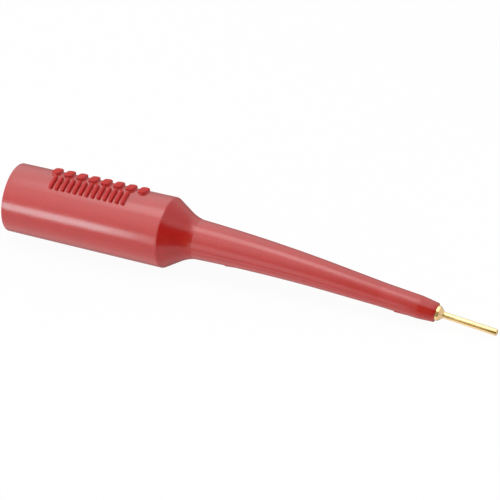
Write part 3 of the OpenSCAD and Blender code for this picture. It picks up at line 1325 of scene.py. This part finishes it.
@dataclass(frozen=True)
class DarkCard(Panel):
    """A card that the glossy moulding and the gold reflect as a dark zone."""

    tone: Triple = (0.06, 0.06, 0.06)
    dims: bool = False  # whether it takes away from the light on the adapter too

    def hang(self) -> None:
        """Adds the card to the scene."""
        start_fresh()
        bpy.ops.mesh.primitive_plane_add(size=1.0)
        card = bpy.context.object
        card.name = self.name
        card.scale = (self.width * MM, self.height * MM, 1.0)
        self.hang_up(card)
        bake_place(card)
        shader = Shader(self.name)
        shader.feed(shader.surface, Base_Color=(*self.tone, 1.0), Roughness=0.9, Specular_IOR_Level=0.0)
        dress(card, shader.material)
        card.visible_diffuse = self.dims
        card.visible_shadow = False
        card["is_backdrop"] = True


@dataclass(frozen=True)
class Studio:
    """The pale floor, the light tent round the adapter, its soft lamps and its dark cards."""

    floor_size: float = 1500.0
    floor_tone: float = 0.93
    floor_glow: float = 0.95  # share of plain white in what the camera sees of the floor
    tent_light: float = 0.78  # how much the tent lights the adapter
    tent_left: float = 1.2  # what gloss shows of its left side
    tent_right: float = 0.75
    side_change: Pair = (-0.1, -0.36)  # along X, from the right side to the left
    tent_roof: float = 1.2  # what the roof adds to the left side in the gloss
    roof_rise: Pair = (0.1, 0.95)  # along Z, from none of it to all
    roof_left: Pair = (0.35, -0.1)  # along X, from none of it to all
    beyond: Triple = (-0.32, 0.77, -0.56)  # way to the tent's dim part, low down behind the adapter
    beyond_share: float = 0.3  # what is left there in the gloss
    beyond_fade: Pair = (0.55, 1.0)  # closeness to that way, from undimmed to dimmest
    lamps: tuple[Softbox, ...] = (
        Softbox("overhead_softbox", (-10.5, 0.0, 200.0), (-10.5, 0.0, 0.0),
                width=129.0, height=100.0, brightness=1.65),
        Softbox("front_fill", (-430.0, -420.0, 90.0), (20.0, 0.0, 0.0),
                width=600.0, height=180.0, brightness=5.0, reach=Reach.LIGHT),
        Softbox("tip_fill", (80.0, -20.0, 85.0), (70.0, 0.0, 0.0),
                width=60.0, height=60.0, brightness=1.3, reach=Reach.LIGHT),
        Softbox("nose_crest", (35.5, 0.0, 198.0), (35.5, 0.0, 0.0),
                width=41.0, height=100.0, brightness=0.9, reach=Reach.GLOSS),
        Softbox("left_strip", (-20.9, -50.0, 0.6), (-20.9, 0.0, 0.6),
                width=46.2, height=17.5, brightness=5.25, reach=Reach.GLOSS, tint=(0.55, 1.0, 1.05)),
        Softbox("rear_band", (-18.0, -100.0, -5.0), (-18.0, 0.0, -5.0),
                width=44.0, height=40.0, brightness=1.0, reach=Reach.GLOSS),
        Softbox("nose_band", (23.0, -100.0, -18.0), (23.0, 0.0, -18.0),
                width=46.0, height=60.0, brightness=0.8, reach=Reach.GLOSS),
    )
    cards: tuple[DarkCard, ...] = (
        DarkCard("near_dark_panel", (80.0, -200.0, 115.0), (80.0, 0.0, 115.0),
                 width=80.0, height=390.0, tone=(0.235, 0.18, 0.015)),
        DarkCard("far_dark_panel", (370.0, -200.0, 160.0), (370.0, 0.0, 160.0),
                 width=500.0, height=480.0, dims=True),
        DarkCard("low_dark_strip", (85.75, -20.0, -7.2), (85.75, 0.0, -7.2),
                 width=48.5, height=8.6, tone=(0.24, 0.26, 0.12)),
    )

    def build(self, floor_height: float) -> None:
        """Sets up the floor, the surroundings, the lamps and the cards.

        Args:
            floor_height: Height of the floor in metres.
        """
        self._lay_floor(floor_height)
        self._light_tent()
        for panel in (*self.lamps, *self.cards):
            panel.hang()
        LOG.info("studio: %d lamps, %d cards", len(self.lamps), len(self.cards))

    def _lay_floor(self, height: float) -> None:
        """Lays a pale floor that stays white to the camera but for the adapter's soft shadow.

        Args:
            height: Height of the floor in metres.
        """
        start_fresh()
        bpy.ops.mesh.primitive_plane_add(size=self.floor_size * MM, location=(0.0, 0.0, height))
        floor = bpy.context.object
        floor.name = "pale_floor"
        bake_place(floor)
        shader = Shader("pale_floor")
        tone = (self.floor_tone,) * 3
        matt = shader.feed(shader.surface, Base_Color=(*tone, 1.0), Roughness=0.8)
        glow = shader.feed(shader.add("Emission"), Color=WHITE, Strength=1.0)
        share = shader.math("MULTIPLY", shader.seen_rays(), self.floor_glow)
        mix = shader.add("MixShader")
        for socket, source in zip(mix.inputs, (share, matt.outputs[0], glow.outputs[0])):
            shader.put(socket, source)
        shader.feed(shader.tree.nodes["Material Output"], Surface=mix.outputs[0])
        dress(floor, shader.material)
        floor.visible_glossy = False
        floor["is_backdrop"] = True

    def _light_tent(self) -> None:
        """Makes the tent white to the camera, even as a light, and uneven in the gloss."""
        world = bpy.data.worlds.new("light_tent")
        world.use_nodes = True
        bpy.context.scene.world = world
        nodes = Nodes(world.node_tree)
        way = nodes.add("TexCoord").outputs["Generated"]
        axes = nodes.feed(nodes.add("SeparateXYZ"), Vector=way).outputs
        side = nodes.ramp(axes["X"], (self.tent_right, self.tent_left), self.side_change, soft=True)
        roof = nodes.ramp(axes["Z"], (0.0, self.tent_roof), self.roof_rise, soft=True)
        roof_share = nodes.ramp(axes["X"], (0.0, 1.0), self.roof_left, soft=True)
        bright = nodes.math("MULTIPLY_ADD", roof_share, roof, side)
        closeness = nodes.math("DOT_PRODUCT", way, self.beyond, kind="VectorMath")
        dimming = nodes.ramp(closeness, (1.0, self.beyond_share), self.beyond_fade, soft=True)
        to_camera = nodes.add("LightPath").outputs["Is Camera Ray"]
        shown = nodes.choose(to_camera, nodes.math("MULTIPLY", bright, dimming), 1.0)
        strength = nodes.choose(nodes.seen_rays(), self.tent_light, shown)
        nodes.feed(world.node_tree.nodes["Background"], Color=WHITE, Strength=strength)


@dataclass(frozen=True)
class PhotoCamera:
    """The photograph's camera, in degrees and millimetres."""

    azimuth: float = 22.527  # from the side view round towards the pin
    elevation: float = 33.896
    distance: float = 458.6
    lens: float = 216.0
    sensor: float = 36.0
    clip: Pair = (0.01, 10.0)  # metres
    target: Triple = (39.8, 0.0, 0.0)
    across: float = -1.133  # from the target to the picture's middle
    upwards: float = 0.424

    def set_up(self) -> None:
        """Adds the camera and makes it the scene's own."""
        azimuth = math.radians(self.azimuth)
        elevation = math.radians(self.elevation)
        level = math.cos(elevation)
        back = Vector((math.sin(azimuth) * level, -math.cos(azimuth) * level, math.sin(elevation)))
        right = Vector((math.cos(azimuth), math.sin(azimuth), 0.0))
        middle = Vector(self.target) + right * self.across + back.cross(right) * self.upwards
        lens = bpy.data.cameras.new("photo_camera")
        lens.lens = self.lens
        lens.sensor_width = self.sensor
        lens.clip_start, lens.clip_end = self.clip
        camera = bpy.data.objects.new("photo_camera", lens)
        bpy.context.scene.collection.objects.link(camera)
        camera.location = (middle + back * self.distance) * MM
        camera.rotation_euler = back.to_track_quat("Z", "Y").to_euler()
        bpy.context.scene.camera = camera
        LOG.info("camera: %.0f mm lens at %.0f mm", self.lens, self.distance)


def dress_frame(nodes: dict[str, bpy.types.Object], finishes: Finishes) -> None:
    """Gives the CAD nodes their finishes.

    Args:
        nodes: The frame's nodes by name.
        finishes: The adapter's finishes.
    """
    plan = {
        "jack_solder": finishes.solder,
        "pin_solder": finishes.solder,
        "wire_strands": finishes.tinned,
        "wire_jacket": finishes.jacket,
        "body_moulding": finishes.moulding,
        "pin_contact": finishes.gold,
        "jack_sleeve": finishes.nickel,
        "jack_terminal": finishes.nickel,
    }
    for name, finish in plan.items():
        dress(nodes[name], finish)


def main() -> None:
    """Builds every sub-assembly round the frame, then the studio and the camera."""
    logging.basicConfig(level=logging.INFO, format="%(name)s: %(message)s")
    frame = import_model()
    cad_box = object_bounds()
    bpy.context.scene.view_settings.view_transform = "Standard"
    PhotoCamera().set_up()
    line = Centreline()
    finishes = Finishes()
    jack = Jack(line)
    contact = PinContact(line)
    moulding = Moulding(line, contact, jack, Wire())
    dress_frame(frame["nodes"], finishes)
    Piece(jack.build_sleeve(), finishes.nickel, "nickel_plate", "jack_sleeve").fix()
    Piece(jack.build_terminal(), finishes.nickel, "nickel_plate", "jack_terminal").fix()
    Piece(contact.build(), finishes.gold, "gold_plate", "pin_contact").fix()
    Piece(moulding.build(), finishes.moulding, "red_moulding", "body_moulding").fix()
    Studio().build(floor_height=cad_box[0][2])


if __name__ == "__main__":
    main()
